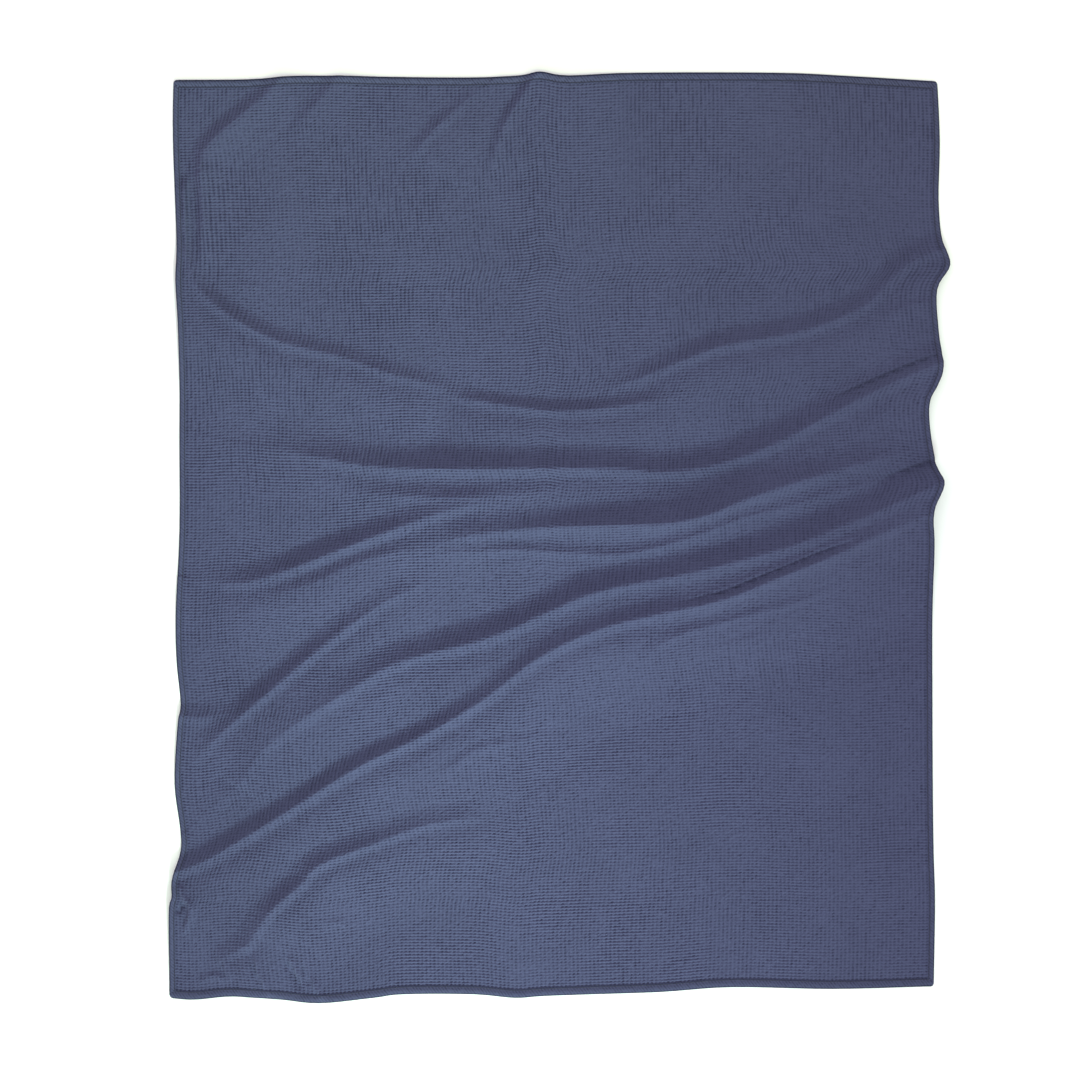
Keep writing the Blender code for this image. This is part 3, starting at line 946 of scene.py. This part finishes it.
def waffle_cotton():
    """The upper face's cotton: painted shade in its pits and in grooves that come and go, and yarns
    on the ridges.
    """
    nodes = Nodes("blue_waffle_cotton")
    cells = nodes.cloth_place()
    depth, from_ridge, split = cell_depth(nodes, cells)
    cell = nodes.add("ShaderNodeVectorMath", {"operation": "FLOOR"})
    nodes.put(cell.inputs[0], cells)
    settings = {"noise_dimensions": "2D"}
    chance = nodes.add("ShaderNodeTexWhiteNoise", settings, Vector=cell.outputs[0])
    pit = nodes.math("MULTIPLY_ADD", chance.outputs["Value"], PIT_SHADE_CHANCE, PIT_SHADE)
    dark = nodes.math("MULTIPLY", nodes.ramp(depth, *PIT_WALL), pit)
    upright = grooves(nodes, cells, from_ridge, "columns", COLUMN_SEED)
    level = grooves(nodes, cells, from_ridge, "rows", ROW_SEED)
    off_diagonal = nodes.math("SUBTRACT", split.outputs["Y"], split.outputs["X"])
    upper_left = nodes.ramp(off_diagonal, *UPPER_LEFT_CELLS)
    columns = nodes.math("MULTIPLY_ADD", upper_left, UPPER_LEFT_GROOVE_SHADE, COLUMN_GROOVE_SHADE)
    dark = nodes.math("MULTIPLY_ADD", upright, columns, dark)
    dark = nodes.math("MULTIPLY_ADD", level, ROW_GROOVE_SHADE, dark)
    # Painted shade: the pits and grooves are darkened in colour on top of their relief.
    colour = nodes.mix(dark, RIDGE_COLOUR, PIT_PAINTED_SHADE)
    return finish_cotton(nodes, colour, yarn_relief(nodes, split, from_ridge), YARN_DEPTH)


def back_cotton():
    """The back's cotton: its cells are relief, with painted shade in their pits."""
    nodes = Nodes("blue_waffle_cotton_back")
    cells = nodes.cloth_place()
    depth, _, _ = cell_depth(nodes, cells)
    pit = nodes.ramp(depth, *PIT_WALL)
    # Painted shade in the back's pits.
    colour = nodes.mix(pit, RIDGE_COLOUR, PIT_PAINTED_SHADE)
    return finish_cotton(nodes, colour, nodes.math("SUBTRACT", 1.0, pit), BACK_DEPTH)


def hem_cotton(look):
    """A hem's ribbed cotton, with painted shade in the grooves between its ribs, on its rim and in
    its seam.
    """
    nodes = Nodes(look.name)
    place = nodes.cloth_place()
    split = nodes.add("ShaderNodeSeparateXYZ", Vector=place)
    rib = nodes.math("COSINE", nodes.math("MULTIPLY", split.outputs["X"], 2 * np.pi))
    uneven = nodes.noise(nodes.stretched(place, RIB_UNEVEN), 1.0)
    groove = nodes.math(
        "MULTIPLY", nodes.ramp(rib, *RIB_FLANK), nodes.ramp(uneven, *RIB_LEVELS)
    )
    groove = nodes.math("MULTIPLY", groove, look.ribs)
    # Painted shade in the grooves between the ribs.
    colour = nodes.mix(groove, HEM_COLOUR, HEM_GROOVE_PAINTED_SHADE)
    from_seam = nodes.math("ABSOLUTE", nodes.math("SUBTRACT", split.outputs["Y"], look.seam))
    seam = nodes.math("MULTIPLY", nodes.ramp(from_seam, *SEAM_FADE), look.dark_seam)
    rim = nodes.ramp(split.outputs["Y"], look.rim + RIM_SOFTNESS, look.rim - RIM_SOFTNESS)
    # Painted shade on the rolled rim and in the seam.
    colour = nodes.mix(nodes.math("MAXIMUM", rim, seam), colour, RIM_PAINTED_SHADE)
    return finish_cotton(nodes, colour, nodes.math("MULTIPLY_ADD", rib, 0.5, 0.5), RIB_DEPTH)


def sewing_thread():
    nodes = Nodes("navy_thread")
    place = nodes.add("ShaderNodeTexCoord").outputs["Object"]
    twist = nodes.noise(place, THREAD_TWIST)
    nodes.put(nodes.shader.inputs["Base Color"], nodes.mix(twist, THREAD_SHADE, THREAD_COLOUR))
    bump = nodes.add("ShaderNodeBump", Strength=0.5, Distance=TWIST_DEPTH, Height=twist)
    nodes.put(nodes.shader.inputs["Normal"], bump.outputs["Normal"])
    nodes.shader.inputs["Roughness"].default_value = 0.6
    return nodes.material


FLOOR_SIZE = 30.0
FLOOR_DROP = 0.4 * MM
FLOOR_COLOUR = (0.94, 0.94, 0.94, 1.0)

# One row for each lamp: the place it is aimed at, how far off it stands, how many degrees east of
# south and above the floor, how wide its cone is, its radius, its power and its colour.
Lamp = namedtuple("Lamp", "name aim distance heading elevation cone radius power colour")
LAMPS = (
    Lamp("key", (-0.22, -0.27, 0), 5.0, 12, 27.5, 19.6, 0.65, 2830, (0.71, 1.0, 0.83)),
    Lamp("left fill", (-0.62, 0.80, 0), 4.0, 50, 42, 17.0, 0.50, 215, (0.42, 1.0, 0.0)),
    Lamp("right fill", (0.44, 0.93, 0), 4.0, 12, 62, 18.0, 0.50, 205, (0.70, 1.0, 0.32)),
    Lamp("low fill", (-0.66, -0.45, 0), 4.0, 12, 62, 15.5, 0.50, 88, (0.20, 1.0, 0.0)),
)
SKY_COLOUR = (1.0, 1.0, 1.0, 1.0)
SKY_STRENGTH = 1.12


def floor():
    mesh = bpy.data.meshes.new("floor")
    bm = bmesh.new()
    bmesh.ops.create_grid(bm, x_segments=1, y_segments=1, size=FLOOR_SIZE / 2)
    bm.to_mesh(mesh)
    bm.free()
    ground = bpy.data.objects.new("floor", mesh)
    ground.location.z = -FLOOR_DROP
    bpy.context.scene.collection.objects.link(ground)
    paint = Nodes("white_floor")
    paint.shader.inputs["Base Color"].default_value = FLOOR_COLOUR
    paint.shader.inputs["Roughness"].default_value = 0.9
    paint.shader.inputs["Specular IOR Level"].default_value = 0.0
    mesh.materials.append(paint.material)


def show_lamp(row):
    light = bpy.data.lights.new(row.name, "SPOT")
    light.shadow_soft_size = row.radius
    light.spot_size = np.radians(row.cone)
    light.spot_blend = 1.0
    light.energy = row.power
    light.color = row.colour
    heading, elevation = np.radians(row.heading), np.radians(row.elevation)
    level = np.cos(elevation)
    away = Vector((level * np.sin(heading), -level * np.cos(heading), np.sin(elevation)))
    stand = bpy.data.objects.new(row.name, light)
    stand.location = Vector(row.aim) + row.distance * away
    stand.rotation_euler = away.to_track_quat("Z", "Y").to_euler()
    bpy.context.scene.collection.objects.link(stand)


def stage():
    """A plain white floor, soft lamps and an even sky."""
    floor()
    for row in LAMPS:
        show_lamp(row)
    world = bpy.data.worlds.new("sky")
    world.use_nodes = True
    backdrop = world.node_tree.nodes["Background"]
    backdrop.inputs["Color"].default_value = SKY_COLOUR
    backdrop.inputs["Strength"].default_value = SKY_STRENGTH
    bpy.context.scene.world = world
    bpy.context.scene.view_settings.view_transform = "Standard"


def camera():
    lens = bpy.data.cameras.new("camera")
    lens.lens = LENS
    lens.sensor_width = SENSOR
    lens.clip_end = 100.0
    eye = bpy.data.objects.new("camera", lens)
    eye.location = (*VIEW_CENTRE, VIEW_WIDTH * LENS / SENSOR)
    bpy.context.scene.collection.objects.link(eye)
    bpy.context.scene.camera = eye


def dress():
    """The blanket's pieces, which together stand for the one solid of the frame."""
    cloth = Cloth()
    shells = waffle(cloth, waffle_cotton())
    borders = hems(cloth, hem_cotton(TOP_LOOK), hem_cotton(BOTTOM_LOOK), hem_cotton(SIDE_LOOK))
    thread = stitches(cloth, sewing_thread())
    sheet = back(cloth, back_cotton())
    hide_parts(NODE)


camera()
stage()
dress()
